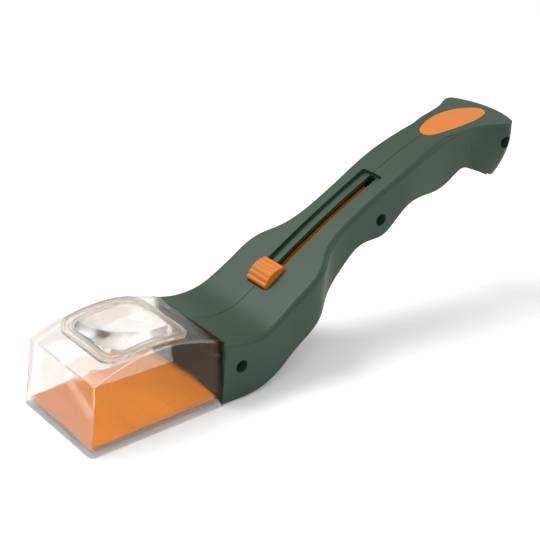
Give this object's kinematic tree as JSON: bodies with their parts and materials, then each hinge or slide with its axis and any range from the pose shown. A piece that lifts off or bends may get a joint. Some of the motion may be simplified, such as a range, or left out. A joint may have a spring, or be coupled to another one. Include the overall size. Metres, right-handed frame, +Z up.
{
  "type": "insect catcher and viewer",
  "caption": "Clear magnifying viewing box on a curved hand grip, with a flexible sliding floor opened and closed by a ridged thumb button.",
  "frame": {"origin": "bottom centre of the whole object: half its length, its middle plane, and the level of the box's lower rim", "axes": "+X from the box's front to the handle's tail, +Y to the left when looking along +X, +Z up"},
  "size_m": [0.252, 0.0514, 0.0944],
  "materials": {
    "green_plastic": "fine satin texture",
    "clear_plastic": "clear, polished",
    "clear_lens": "clear, polished lens",
    "orange_plastic": "satin",
    "orange_sheet": "satin flexible sheet",
    "dark_steel": "blackened"
  },
  "bodies": {
    "body": {"left_shell": "green_plastic", "right_shell": "green_plastic", "viewing_box": "clear_plastic", "lens_collar": "clear_plastic", "magnifier_lens": "clear_lens", "oval_inlay": "orange_plastic", "case_screws": "dark_steel"},
    "slider": {"thumb_button": "orange_plastic", "slide_strip": "orange_sheet"},
    "tongue": {"door_tongue": "orange_sheet"},
    "panel_1": {"door_panel_1": "orange_sheet"},
    "panel_2": {"door_panel_2": "orange_sheet"},
    "panel_3": {"door_panel_3": "orange_sheet"},
    "panel_4": {"door_panel_4": "orange_sheet"},
    "panel_5": {"door_panel_5": "orange_sheet"},
    "panel_6": {"door_panel_6": "orange_sheet"}
  },
  "joints": [
    {"name": "thumb_slide", "type": "hinge", "parent": "body", "child": "slider", "pos_m": [0.2393, 0, -0.3327], "axis": [0, 1, 0], "range_deg": [0, 8.15]},
    {"name": "tongue_bend", "type": "hinge", "parent": "slider", "child": "tongue", "pos_m": [-0.0249, 0, 0.01727], "axis": [0, -1, 0], "range_deg": [0, 21.26]},
    {"name": "floor_slide", "type": "slide", "parent": "body", "child": "panel_1", "axis": [1, 0, 0], "range_m": [0, 0.0636]},
    {"name": "floor_turn_2", "type": "hinge", "parent": "body", "child": "panel_2", "pos_m": [-0.08374, 0, 0.61007], "axis": [0, -1, 0], "range_deg": [0, 6.01]},
    {"name": "floor_turn_3", "type": "hinge", "parent": "body", "child": "panel_3", "pos_m": [-0.07842, 0, 0.22975], "axis": [0, -1, 0], "range_deg": [0, 16.01]},
    {"name": "floor_turn_4", "type": "hinge", "parent": "body", "child": "panel_4", "pos_m": [-0.07321, 0, 0.13655], "axis": [0, -1, 0], "range_deg": [0, 27.01]},
    {"name": "floor_turn_5", "type": "hinge", "parent": "body", "child": "panel_5", "pos_m": [-0.06912, 0, 0.10576], "axis": [0, -1, 0], "range_deg": [0, 35.01]},
    {"name": "floor_turn_6", "type": "hinge", "parent": "body", "child": "panel_6", "pos_m": [-0.06576, 0, 0.09316], "axis": [0, -1, 0], "range_deg": [0, 40.01]}
  ],
  "couplings": [
    {"joint": "tongue_bend", "follows": "thumb_slide", "ratio": 2.6074},
    {"joint": "floor_slide", "follows": "thumb_slide", "m_per_rad": 0.44712},
    {"joint": "floor_turn_2", "follows": "thumb_slide", "ratio": 0.7362},
    {"joint": "floor_turn_3", "follows": "thumb_slide", "ratio": 1.9632},
    {"joint": "floor_turn_4", "follows": "thumb_slide", "ratio": 3.3129},
    {"joint": "floor_turn_5", "follows": "thumb_slide", "ratio": 4.2945},
    {"joint": "floor_turn_6", "follows": "thumb_slide", "ratio": 4.908}
  ]
}
